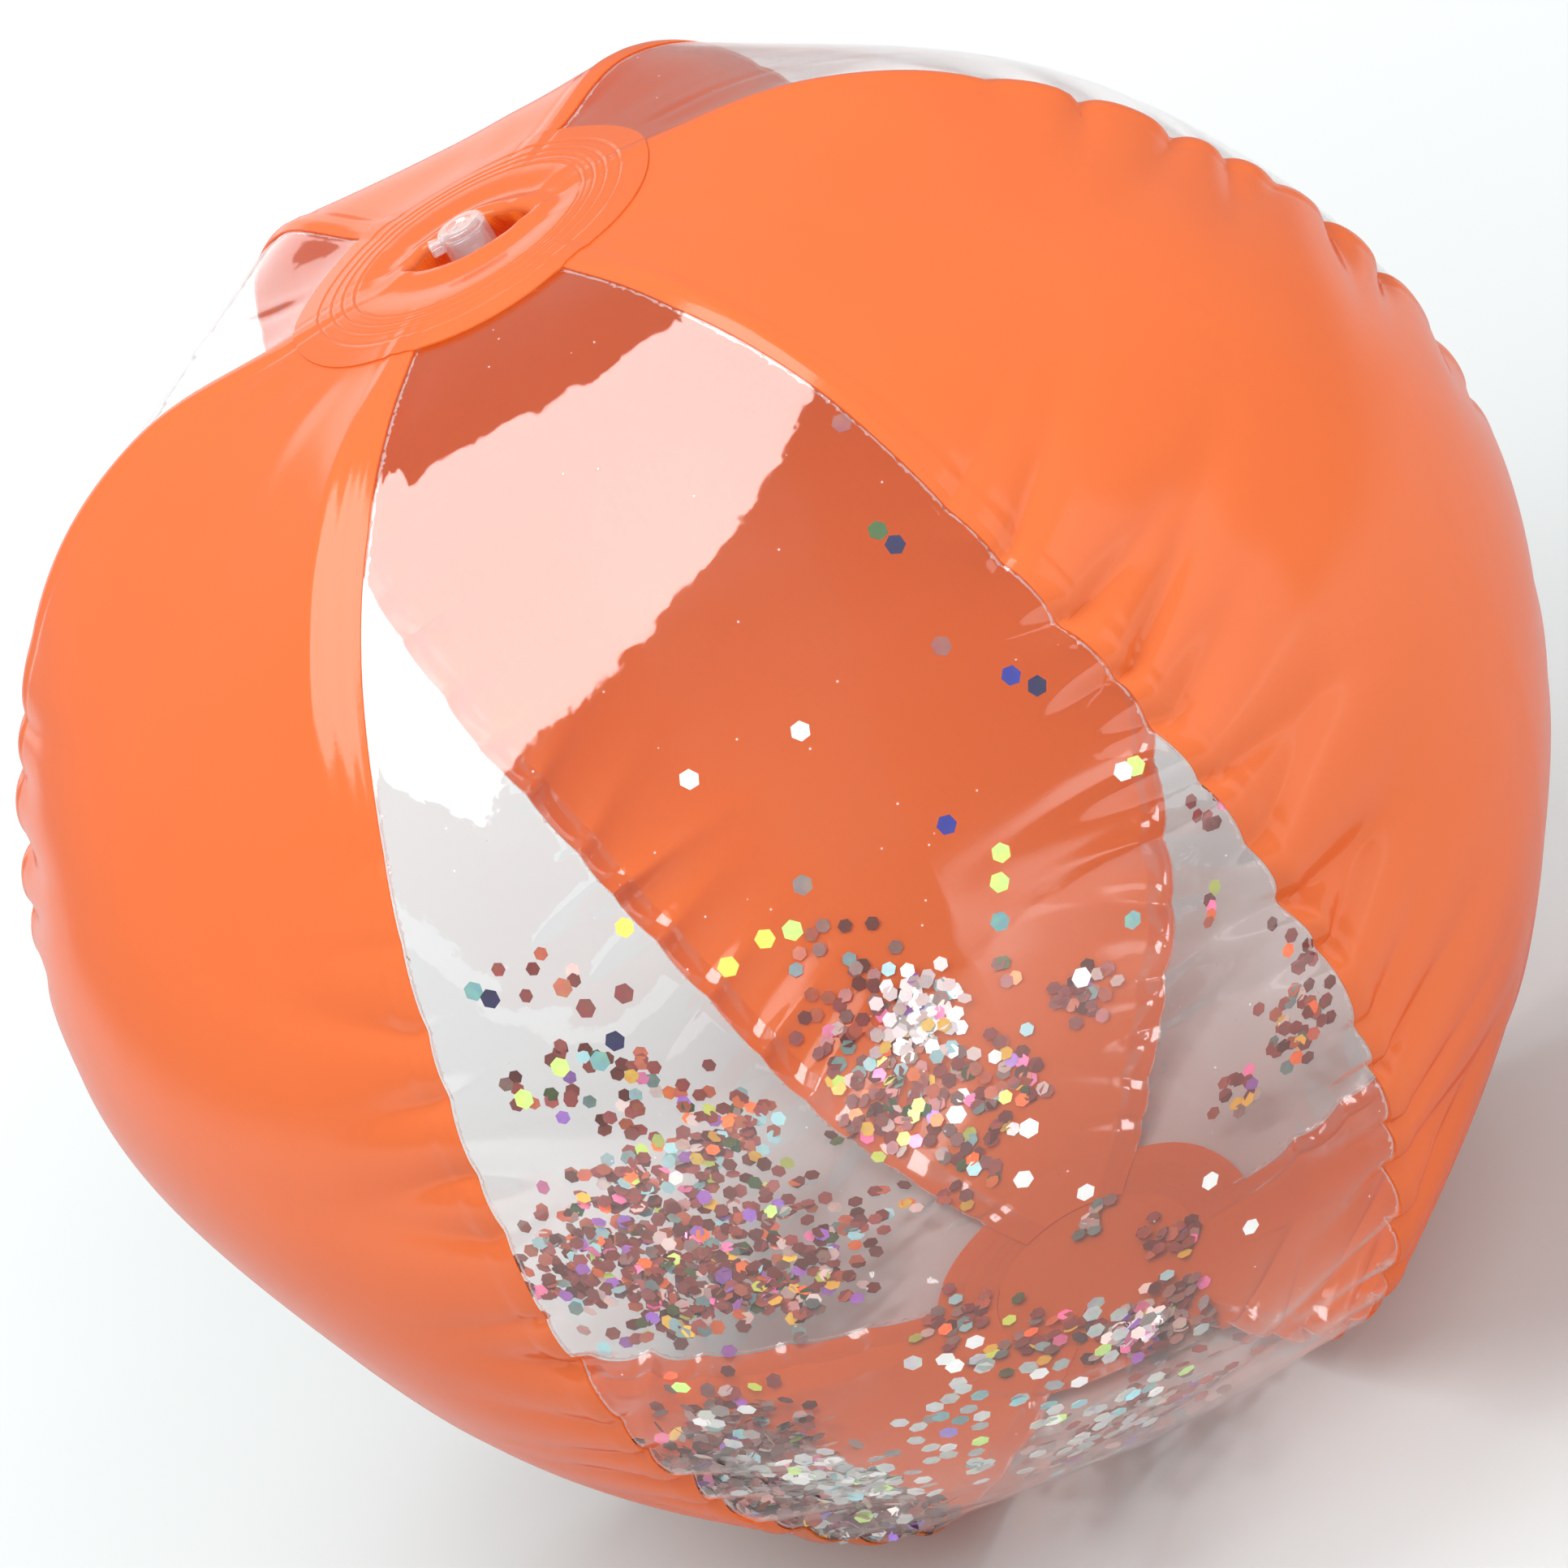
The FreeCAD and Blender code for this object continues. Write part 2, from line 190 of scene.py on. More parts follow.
def smooth_step(share):
    """Rises smoothly from 0 to 1 as share does."""
    share = np.clip(share, 0, 1)
    return share * share * (3 - 2 * share)


def swell(arc, centre, width):
    """A smooth bump over latitude, in degrees."""
    return np.exp(-((np.degrees(arc) - centre) / width) ** 2)


# Broad, shallow unevenness of a soft ball: latitude, heading, radius in degrees and height.
DENTS = [
    (0, 185, 50, 2.6 * MM),
    (-28, 215, 26, -4.5 * MM),
    (-9, 204, 21, -6.8 * MM),
    (-50, -60, 24, 2.0 * MM),
    (62, 128, 36, 4.2 * MM),
    (50, 30, 15, 1.1 * MM),
    (20, 4, 30, 1.8 * MM),
    (52, -4, 16, -2.2 * MM),
    (-26, -22, 22, -3.2 * MM),
]


def film_relief(arc, heading):
    """How far the film stands out from the plain wall at an arc angle and heading."""
    arc, heading = np.broadcast_arrays(arc, heading)
    run = run_along(arc)
    seam = np.rint(heading / SEAM_STEP).astype(int)
    angle_off = heading - seam * SEAM_STEP
    ring = ring_radius(arc)
    off = angle_off * ring
    side = np.abs(angle_off) / (SEAM_STEP / 2)
    from_middle = np.sqrt((1 - side) ** 2 + 0.0004)

    lobe = 5.4 * MM * (swell(arc, 59, 17) + swell(arc, -58, 17)) - 1.5 * MM * swell(arc, 0, 28)
    height = lobe * (from_middle ** 2 - 0.22)

    for index in range(SEAM_COUNT):
        here = (seam % SEAM_COUNT) == index
        if not here.any():
            continue
        run_here = run[here]
        off_here = off[here] - seam_drift(index, run_here)
        away = np.abs(off_here)
        which = (off_here > 0).astype(int)
        pulled = np.zeros_like(run_here)
        for pucker in PUCKERS[index]:
            reach = pucker["reach"][which]
            skew = pucker["skew"][which]
            width = pucker["width"] * (1 + away / (11 * MM))
            across = (run_here - pucker["run"] + skew * away) / width
            pulled += pucker["depth"] * cusp(across) * np.exp(-(away / reach) ** 1.5)
        started = np.clip((PUCKER_START[index] - run_here) / PUCKER_RAMP[index], 0, 1)
        ended = np.clip((run_here + 172 * MM) / (20 * MM), 0, 1)
        height[here] += 1.1 * MM * started * ended * np.exp(-away / (12 * MM)) - pulled
        height[here] += 0.10 * MM * np.exp(-((away - 1.2 * MM) / (0.7 * MM)) ** 2)
        height[here] -= 0.12 * MM * np.exp(-((away - 3.1 * MM) / (0.6 * MM)) ** 2)

    for place, width, tall, start, reach in POLE_CREASES:
        turn = np.abs((heading - place + math.pi) % (2 * math.pi) - math.pi)
        past = ring - start
        along = np.clip(past / (8 * MM), 0, 1) * np.exp(-np.clip(past, 0, None) / reach)
        height += tall * np.exp(-(turn * ring / width) ** 2) * along * (arc > 0)

    direction = wall_normal(arc, heading)
    clear_of_disc = smooth_step((ring - DISC_RADIUS) / (28 * MM))
    for latitude, lon, radius, dent in DENTS:
        centre = wall_normal(np.radians(latitude), np.radians(lon))
        angle = np.degrees(np.arccos(np.clip(direction @ centre, -1, 1)))
        height += dent * np.exp(-(angle / radius) ** 2) * clear_of_disc

    # The relief fades to nothing under the middle of the end discs.
    return height * smooth_step((ring - 17 * MM) / (15 * MM))


def wall_normal(arc, heading):
    """Outward direction of the plain wall."""
    arc, heading = np.broadcast_arrays(arc, heading)
    return np.stack([np.cos(arc) * np.cos(heading), np.cos(arc) * np.sin(heading),
                     np.sin(arc)], -1)


def wall_point(arc, heading, lift=0.0):
    """A point of the shaped wall, lifted off the orange film's outer face."""
    arc, heading = np.broadcast_arrays(arc, heading)
    ring = ring_radius(arc)
    plain = np.stack([ring * np.cos(heading), ring * np.sin(heading),
                      EQUATOR_Z + (EQUATOR - core_of(arc)) * np.sin(arc)], -1)
    out = film_relief(arc, heading) + lift
    return plain + wall_normal(arc, heading) * out[..., None]


# ---------------------------------------------------------------- mesh helpers

def add_mesh(name, points, faces, material, sharp=40):
    """A mesh object with smooth faces, kept sharp where they meet at more than an angle."""
    mesh = bpy.data.meshes.new(name)
    mesh.from_pydata(np.asarray(points).reshape(-1, 3).tolist(), [], faces)
    mesh.validate()
    mesh.polygons.foreach_set("use_smooth", [True] * len(mesh.polygons))
    mesh.set_sharp_from_angle(angle=math.radians(sharp))
    mesh.materials.append(material)
    piece = bpy.data.objects.new(name, mesh)
    bpy.context.scene.collection.objects.link(piece)
    return piece


def settle(piece, body, slot, *replaced):
    """Say which body a piece rides on and the CAD nodes it stands for, which are hidden. The slot is
    not used.
    """
    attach(piece, body)
    if replaced:
        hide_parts(*replaced)
    return piece


def grid_faces(rows, columns, start, flip=False, wrap=False):
    """Quads over a grid of points, row by row."""
    faces = []
    last = columns if wrap else columns - 1
    for row in range(rows - 1):
        for column in range(last):
            after = (column + 1) % columns
            a = start + row * columns + column
            b = start + row * columns + after
            c = b + columns
            d = a + columns
            faces.append((a, d, c, b) if flip else (a, b, c, d))
    return faces


def rim_faces(outer, inner):
    """Quads between two matching loops of point numbers."""
    count = len(outer)
    return [(outer[i], inner[i], inner[(i + 1) % count], outer[(i + 1) % count])
            for i in range(count)]


def mark_inside(piece, first):
    """Mark the points from a number on as the film's inner face, which the orange film paints brighter
    as painted light.
    """
    marks = piece.data.attributes.new("film_inside", "FLOAT", "POINT")
    marks.data.foreach_set("value", [float(i >= first) for i in range(len(piece.data.vertices))])


def sheet_piece(name, outer, inner, material):
    """A closed thin sheet between two grids of points that don't wrap round."""
    rows, columns = outer.shape[:2]
    count = rows * columns
    faces = grid_faces(rows, columns, 0) + grid_faces(rows, columns, count, flip=True)
    loop = list(range(columns))
    loop += [row * columns + columns - 1 for row in range(1, rows)]
    loop += [(rows - 1) * columns + column for column in range(columns - 2, -1, -1)]
    loop += [row * columns for row in range(rows - 2, 0, -1)]
    faces += rim_faces(loop, [count + index for index in loop])
    points = np.concatenate([outer.reshape(-1, 3), inner.reshape(-1, 3)])
    piece = add_mesh(name, points, faces, material)
    mark_inside(piece, count)
    return piece


def turned_piece(name, profile, columns, material):
    """A closed solid turned about the pole axis from a closed outline of (radius, height).

    Outline points on the axis must come first and last.
    """
    headings = np.linspace(0, 2 * math.pi, columns, endpoint=False)
    profile = np.asarray(profile, float)
    on_axis = profile[0][0] == 0
    rows = profile[1:-1] if on_axis else profile
    radius, height = rows[:, 0][:, None], rows[:, 1][:, None]
    points = np.stack([radius * np.cos(headings), radius * np.sin(headings),
                       height + 0 * headings], -1)
    faces = grid_faces(len(rows), columns, 0, flip=True, wrap=True)
    flat = points.reshape(-1, 3)
    if on_axis:
        tips = [(0, 0, profile[0][1]), (0, 0, profile[-1][1])]
        first, last = len(flat), len(flat) + 1
        flat = np.concatenate([flat, tips])
        end = (len(rows) - 1) * columns
        for column in range(columns):
            after = (column + 1) % columns
            faces.append((first, after, column))
            faces.append((last, end + column, end + after))
    else:
        end = (len(rows) - 1) * columns
        for column in range(columns):
            after = (column + 1) % columns
            faces.append((end + column, column, after, end + after))
    return add_mesh(name, flat, faces, material)


def arc_points(centre, radius, start, end, count):
    """Points along an arc of an outline, angles in degrees."""
    angles = np.radians(np.linspace(start, end, count))
    return [(centre[0] + radius * math.cos(a), centre[1] + radius * math.sin(a)) for a in angles]


# ---------------------------------------------------------------- materials

def new_material(name):
    """An empty node material and its node tree."""
    material = bpy.data.materials.new(name)
    material.use_nodes = True
    material.node_tree.nodes.clear()
    return material, material.node_tree


def add_node(tree, kind, **settings):
    """A shader node with its properties and plain input values set."""
    node = tree.nodes.new(kind)
    for key, setting in settings.items():
        if key in node.inputs:
            node.inputs[key].default_value = setting
        else:
            setattr(node, key, setting)
    return node


def add_noise(tree, scale, detail=2.0, roughness=0.5):
    """Noise over the object's own coordinates, in cycles per metre."""
    place = add_node(tree, "ShaderNodeTexCoord")
    noise = add_node(tree, "ShaderNodeTexNoise", Scale=scale, Detail=detail, Roughness=roughness)
    tree.links.new(place.outputs["Object"], noise.inputs["Vector"])
    return noise


def add_bump(tree, layers):
    """Bump built up from (noise scale, detail, height) layers. Returns its normal output."""
    normal = None
    for scale, detail, height in layers:
        noise = add_noise(tree, scale, detail)
        bump = add_node(tree, "ShaderNodeBump", Strength=1.0, Distance=height)
        tree.links.new(noise.outputs["Fac"], bump.inputs["Height"])
        if normal is not None:
            tree.links.new(normal, bump.inputs["Normal"])
        normal = bump.outputs["Normal"]
    return normal


def add_mix(tree, kind, factor, first, second):
    """A mix of two shaders or two colours."""
    if kind == "shader":
        mix = add_node(tree, "ShaderNodeMixShader")
        sockets = (mix.inputs[0], mix.inputs[1], mix.inputs[2])
        result = mix.outputs[0]
    else:
        mix = add_node(tree, "ShaderNodeMix", data_type="RGBA")
        sockets = (mix.inputs[0], mix.inputs[6], mix.inputs[7])
        result = mix.outputs[2]
    for socket, source in zip(sockets, (factor, first, second)):
        if isinstance(source, bpy.types.NodeSocket):
            tree.links.new(source, socket)
        else:
            socket.default_value = source
    return result


def orange_vinyl():
    """Glossy pigmented film that lets a little light through."""
    material, tree = new_material("orange_vinyl")
    cloud = add_noise(tree, 22.0, 3.0)
    colour = add_mix(tree, "colour", cloud.outputs["Fac"], (0.75, 0.196, 0.053, 1),
                     (0.79, 0.226, 0.066, 1))
    # Painted light: the film's inner face is painted brighter and more saturated than its outer face,
    # standing in for light that shines through the film into the ball.
    place = add_node(tree, "ShaderNodeAttribute", attribute_name="film_inside")
    colour = add_mix(tree, "colour", place.outputs["Fac"], colour, (0.97, 0.290, 0.040, 1))
    grain = add_noise(tree, 900.0, 2.0)
    rough = add_node(tree, "ShaderNodeMapRange")
    rough.inputs["To Min"].default_value = 0.10
    rough.inputs["To Max"].default_value = 0.17
    tree.links.new(grain.outputs["Fac"], rough.inputs["Value"])
    normal = add_bump(tree, [(45.0, 1.0, 0.30 * MM), (1400.0, 1.0, 0.012 * MM)])
    body = add_node(tree, "ShaderNodeBsdfPrincipled")
    body.inputs["IOR"].default_value = 1.53
    tree.links.new(colour, body.inputs["Base Color"])
    tree.links.new(rough.outputs["Result"], body.inputs["Roughness"])
    tree.links.new(normal, body.inputs["Normal"])
    glow = add_node(tree, "ShaderNodeBsdfTranslucent")
    tree.links.new(colour, glow.inputs["Color"])
    surface = add_mix(tree, "shader", 0.47, body.outputs[0], glow.outputs[0])
    out = add_node(tree, "ShaderNodeOutputMaterial")
    tree.links.new(surface, out.inputs["Surface"])
    return material


def clear_vinyl(name, tint, mirror, haze, dust, bump_layers):
    """Clear film: see-through, mirror-like by angle on both faces, with haze and dust specks."""
    material, tree = new_material(name)
    normal = add_bump(tree, bump_layers)
    through = add_node(tree, "ShaderNodeBsdfTransparent", Color=tint)
    gloss = add_node(tree, "ShaderNodeBsdfGlossy", Roughness=0.04)
    gloss.inputs["Color"].default_value = (1, 1, 1, 1)
    tree.links.new(normal, gloss.inputs["Normal"])
    facing = add_node(tree, "ShaderNodeLayerWeight", Blend=0.5)
    power = add_node(tree, "ShaderNodeMath", operation="POWER")
    power.inputs[1].default_value = 5.0
    tree.links.new(facing.outputs["Facing"], power.inputs[0])
    share = add_node(tree, "ShaderNodeMapRange")
    share.inputs["To Min"].default_value = mirror
    share.inputs["To Max"].default_value = 0.7
    tree.links.new(power.outputs[0], share.inputs["Value"])
    smear = add_noise(tree, 60.0, 4.0)
    veil = add_node(tree, "ShaderNodeMapRange")
    veil.inputs["To Min"].default_value = haze * 0.4
    veil.inputs["To Max"].default_value = haze * 1.6
    tree.links.new(smear.outputs["Fac"], veil.inputs["Value"])
    place = add_node(tree, "ShaderNodeTexCoord")
    grains = add_node(tree, "ShaderNodeTexVoronoi", Scale=190.0)
    tree.links.new(place.outputs["Object"], grains.inputs["Vector"])
    fleck = add_node(tree, "ShaderNodeMapRange")
    fleck.inputs["From Min"].default_value = 0.02
    fleck.inputs["From Max"].default_value = 0.045
    fleck.inputs["To Min"].default_value = dust
    fleck.inputs["To Max"].default_value = 0.0
    tree.links.new(grains.outputs["Distance"], fleck.inputs["Value"])
    veiled = add_node(tree, "ShaderNodeMath", operation="ADD", use_clamp=True)
    tree.links.new(veil.outputs["Result"], veiled.inputs[0])
    tree.links.new(fleck.outputs["Result"], veiled.inputs[1])
    milk = add_node(tree, "ShaderNodeBsdfDiffuse", Color=(0.85, 0.84, 0.85, 1))
    body = add_mix(tree, "shader", veiled.outputs[0], through.outputs[0], milk.outputs[0])
    surface = add_mix(tree, "shader", share.outputs["Result"], body, gloss.outputs[0])
    out = add_node(tree, "ShaderNodeOutputMaterial")
    tree.links.new(surface, out.inputs["Surface"])
    return material


def glitter_film():
    """Metallised holographic flakes. Each mesh carries its flakes' colours, which hold painted shade
    and highlight, and the flakes glow in them as painted light.
    """
    material, tree = new_material("glitter_film")
    own = add_node(tree, "ShaderNodeAttribute", attribute_name="flake_colour")
    rainbow = add_noise(tree, 700.0, 1.0)
    tinted = add_node(tree, "ShaderNodeMix", data_type="RGBA", blend_type="OVERLAY")
    tinted.inputs[0].default_value = 0.35
    tree.links.new(own.outputs["Color"], tinted.inputs[6])
    tree.links.new(rainbow.outputs["Color"], tinted.inputs[7])
    body = add_node(tree, "ShaderNodeBsdfPrincipled", Metallic=0.25, Roughness=0.25)
    tree.links.new(tinted.outputs[2], body.inputs["Base Color"])
    # Painted light: each flake glows faintly in its own colour, though it is no lamp, to brighten its
    # glints.
    painted_glow = add_node(tree, "ShaderNodeGamma", Gamma=3.0)
    tree.links.new(own.outputs["Color"], painted_glow.inputs["Color"])
    tree.links.new(painted_glow.outputs[0], body.inputs["Emission Color"])
    body.inputs["Emission Strength"].default_value = 0.38
    out = add_node(tree, "ShaderNodeOutputMaterial")
    tree.links.new(body.outputs[0], out.inputs["Surface"])
    return material


def plain_floor():
    """Matt pale studio floor, painted greyer under the ball than far from it: painted shade beneath the
    ball that also evens out the lamps' falloff.
    """
    material, tree = new_material("floor_white")
    place = add_node(tree, "ShaderNodeTexCoord")
    reach = add_node(tree, "ShaderNodeVectorMath", operation="LENGTH")
    tree.links.new(place.outputs["Object"], reach.inputs[0])
    share = add_node(tree, "ShaderNodeMapRange", interpolation_type="SMOOTHSTEP")
    share.inputs["From Min"].default_value = 0.1
    share.inputs["From Max"].default_value = 0.9
    tree.links.new(reach.outputs["Value"], share.inputs["Value"])
    # Painted shade: grey near the ball, white far from it.
    colour = add_mix(tree, "colour", share.outputs["Result"], (0.53, 0.57, 0.57, 1),
                     (0.95, 0.95, 0.95, 1))
    body = add_node(tree, "ShaderNodeBsdfPrincipled", Roughness=0.9)
    tree.links.new(colour, body.inputs["Base Color"])
    out = add_node(tree, "ShaderNodeOutputMaterial")
    tree.links.new(body.outputs[0], out.inputs["Surface"])
    return material


ORANGE = orange_vinyl()
CLEAR = clear_vinyl("clear_vinyl_film", (0.985, 0.98, 0.98, 1), 0.04, 0.004, 0.5,
                    [(70.0, 2.0, 0.16 * MM), (260.0, 2.0, 0.03 * MM)])
MOULDED = clear_vinyl("clear_vinyl_moulded", (0.93, 0.92, 0.93, 1), 0.07, 0.16, 0.0,
                      [(500.0, 2.0, 0.05 * MM)])
FLASH = clear_vinyl("weld_flash", (0.93, 0.86, 0.84, 1), 0.06, 0.22, 0.0, [(900.0, 2.0, 0.1 * MM)])

GLITTER = glitter_film()


# ---------------------------------------------------------------- gores

FINE_ROWS = 350
COARSE_ROWS = 44
FINE_TOP = 0.82
COLUMNS = 92


def make_gore(name, middle, lift, material):
    """One gore: a sheet between two seams that laps past both of them."""
    low = arc_at_radius(TIP_RADIUS, -1)
    high = arc_at_radius(TIP_RADIUS, 1)
    arcs = np.concatenate([np.linspace(low, FINE_TOP, FINE_ROWS)[:-1],
                           np.linspace(FINE_TOP, high, COARSE_ROWS)])[:, None]
    across = np.sin(np.linspace(-math.pi / 2, math.pi / 2, COLUMNS))[None, :]
    ring = ring_radius(arcs)
    run = run_along(arcs)
    seam = round((middle - SEAM_STEP / 2) / SEAM_STEP)
    half = ring * SEAM_STEP / 2 + WELD_LAP
    right = half + seam_shift(seam + 1, run)
    left = half - seam_shift(seam, run)
    off = np.where(across < 0, across * left, across * right)
    headings = middle + off / ring
    outer = wall_point(arcs, headings, lift)
    inner = wall_point(arcs, headings, lift - FILM)
    piece = sheet_piece(name + "_film", outer, inner, material)
    slot = "orange_film" if material is ORANGE else "clear_film"
    return settle(piece, "shell", slot, name)


GORES = [
    ("panel_orange_right", -30, 0.0, ORANGE),
    ("panel_orange_back", 90, 0.0, ORANGE),
    ("panel_orange_left", 210, 0.0, ORANGE),
    ("panel_clear_front", -90, -FILM - WELD_GAP, CLEAR),
    ("panel_clear_right", 30, -FILM - WELD_GAP, CLEAR),
    ("panel_clear_left", 150, -FILM - WELD_GAP, CLEAR),
]
for gore_name, gore_heading, gore_lift, gore_material in GORES:
    make_gore(gore_name, math.radians(gore_heading), gore_lift, gore_material)


def make_flash():
    """The ragged bead of film squeezed out along the inside of each weld."""
    rng = np.random.default_rng(SEED + 2)
    arcs = np.linspace(arc_at_radius(30 * MM, -1), arc_at_radius(30 * MM, 1), 700)
    ring, run = ring_radius(arcs), run_along(arcs)
    for seam in range(SEAM_COUNT):
        clear_side = 1 if seam % 2 == 0 else -1
        middle = seam_shift(seam, run)
        edges = []
        for low, high in ((0.10, 0.50), (0.0, 0.12)):
            wander = np.convolve(rng.uniform(low, high, len(run) + 4), np.ones(5) / 5, "valid")
            spikes = rng.uniform(0, 1, len(run)) ** 9 * 0.5
            edges.append(middle + clear_side * (WELD_LAP + (wander + spikes) * MM))
        off = np.stack([edges[1], edges[0]], 1)
        headings = seam * SEAM_STEP + off / ring[:, None]
        lift = -2 * FILM - 2 * WELD_GAP
        grid = np.broadcast_to(arcs[:, None], headings.shape)
        outer = wall_point(grid, headings, lift)
        inner = wall_point(grid, headings, lift - 0.12 * MM)
        piece = sheet_piece(f"weld_flash_{seam * 60}", outer, inner, FLASH)
        settle(piece, "shell", "clear_film")


make_flash()


# ---------------------------------------------------------------- end discs

WELD_RINGS = [20.5 * MM, 22.6 * MM, 24.6 * MM, 27.2 * MM]
DISC_COLUMNS = 360
MOUTH_LONG = 11.2 * MM
MOUTH_SHORT = 6.9 * MM
MOUTH_POINT = 1.5
MOUTH_TURN = math.radians(-9.5)
LIP_RADIUS = 1.3 * MM
LIP_ROWS = 8


def mouth_radius(heading):
    """Distance from the axis to the recess wall's top, which is drawn out like an almond."""
    turn = heading - MOUTH_TURN
    long = (np.sqrt(np.cos(turn) ** 2 + 0.003) / MOUTH_LONG) ** MOUTH_POINT
    short = (np.sqrt(np.sin(turn) ** 2 + 0.003) / MOUTH_SHORT) ** MOUTH_POINT
    return (long + short) ** (-1 / MOUTH_POINT)


def disc_relief(radius, heading, side):
    """Pressed weld rings, their soft banks, and the dished and creased middle of the top disc."""
    height = np.zeros(np.broadcast(radius, heading).shape)
    press = 1.0 if side > 0 else 0.6
    for index, ring in enumerate(WELD_RINGS):
        wander = ring + 0.10 * MM * np.sin(2 * heading + index) + 0.05 * MM * np.sin(5 * heading)
        away = (radius - wander) / MM
        height += -0.11 * MM * press * np.exp(-(away / 0.22) ** 2)
        height += 0.06 * MM * press * np.exp(-((away - 0.5) / 0.32) ** 2)
    if side < 0:
        return height
    turn = heading - MOUTH_TURN
    beyond = radius - mouth_radius(heading)
    flank = np.sin(turn) ** 2
    height += (0.15 + 0.45 * flank) * MM * np.exp(-((beyond - 2.2 * MM) / (1.8 * MM)) ** 2)
    height -= 0.5 * MM * np.exp(-((beyond - 6 * MM) / (3.5 * MM)) ** 2)
    for pole, bend in ((0, 0.10), (math.pi, -0.16)):
        swing = np.abs((turn - pole - bend + math.pi) % (2 * math.pi) - math.pi)
        across = swing * radius / (0.9 * MM)
        height -= 0.55 * MM * cusp(across) * np.exp(-beyond / (4.5 * MM))
        across = (swing - 0.42) * radius / (1.3 * MM)
        height += 0.22 * MM * np.exp(-across ** 2) * np.exp(-beyond / (7 * MM))
    return height


def disc_point(radius, heading, side, lift):
    """A point on an end disc, which follows the wall and is flat within the arc's core."""
    core = TOP_CORE if side > 0 else BOTTOM_CORE
    reach = np.clip((radius - core) / (EQUATOR - core), 0, 1)
    arc = side * np.arccos(reach)
    point = wall_point(arc, heading, lift)
    inside = np.minimum(radius / core, 1.0)
    point[..., :2] *= inside[..., None]
    return point


def disc_faces(side, radii, headings):
    """The outer and inner face of an end disc over a grid of radii and headings."""
    relief = disc_relief(radii, headings, side)
    outer = disc_point(radii, headings, side, DISC_LIFT + relief)
    inner = disc_point(radii, headings, side, DISC_LIFT - FILM + relief)
    return outer, inner


def disc_mesh(name, outer, inner, side, material, closed):
    """Joins a disc's two faces into one closed sheet."""
    rows, columns = outer.shape[:2]
    count = rows * columns
    up = side > 0
    faces = grid_faces(rows, columns, 0, flip=up, wrap=True)
    faces += grid_faces(rows, columns, count, flip=not up, wrap=True)
    edge = [(rows - 1) * columns + column for column in range(columns)]
    under = [count + index for index in edge]
    faces += rim_faces(under, edge) if up else rim_faces(edge, under)
    first = list(range(columns))
    below = [count + index for index in first]
    if closed:
        faces.append(tuple(first) if up else tuple(reversed(first)))
        faces.append(tuple(reversed(below)) if up else tuple(below))
    else:
        faces += rim_faces(first, below) if up else rim_faces(below, first)
    points = np.concatenate([outer.reshape(-1, 3), inner.reshape(-1, 3)])
    piece = add_mesh(name, points, faces, material)
    mark_inside(piece, count)
    return piece


def make_top_disc():
    """The top disc, whose middle rolls over a soft lip and down into the recess."""
    headings = np.linspace(0, 2 * math.pi, DISC_COLUMNS, endpoint=False)[None, :]
    mouth = mouth_radius(headings)
    share = np.concatenate([np.linspace(0, 0.42, 26)[:-1], np.linspace(0.42, 0.80, 90)[:-1],
                            np.linspace(0.80, 1, 10)])[:, None]
    start = mouth + LIP_RADIUS
    radii = start + (DISC_RADIUS - start) * share
    outer, inner = disc_faces(1, radii, headings + 0 * radii)
    turns = np.radians(np.linspace(90, 178, LIP_ROWS + 1))[1:][:, None]
    rolls = []
    for face, radius in ((outer, LIP_RADIUS), (inner, LIP_RADIUS - FILM)):
        reach = mouth + LIP_RADIUS + radius * np.cos(turns)
        height = outer[0, :, 2][None, :] - LIP_RADIUS + radius * np.sin(turns)
        roll = np.stack([reach * np.cos(headings), reach * np.sin(headings), height], -1)
        rolls.append(np.concatenate([roll[::-1], face]))
    piece = disc_mesh("end_disc_top_film", rolls[0], rolls[1], 1, ORANGE, closed=False)
    settle(piece, "shell", "orange_film", "end_disc_top")
    return outer[0, :, 2] - LIP_RADIUS


def make_bottom_disc():
    """The bottom disc, flat in the middle where the ball rests."""
    radii = [0.7 * MM, 3 * MM, 6 * MM, 9 * MM, 12 * MM, 15 * MM, 18 * MM]
    radii = np.concatenate([radii, np.arange(19.6, 28.4, 0.16) * MM, np.linspace(28.6, 32, 8) * MM])
    headings = np.linspace(0, 2 * math.pi, 240, endpoint=False)
    radii, headings = np.broadcast_arrays(radii[:, None], headings[None, :])
    outer, inner = disc_faces(-1, radii, headings)
    piece = disc_mesh("end_disc_bottom_film", outer, inner, -1, ORANGE, closed=True)
    settle(piece, "shell", "orange_film", "end_disc_bottom")


LIP_Z = make_top_disc()
make_bottom_disc()


# ---------------------------------------------------------------- valve

CUFF_COLUMNS = 720
CUFF_ROWS = 30
RIB_COUNT = 90


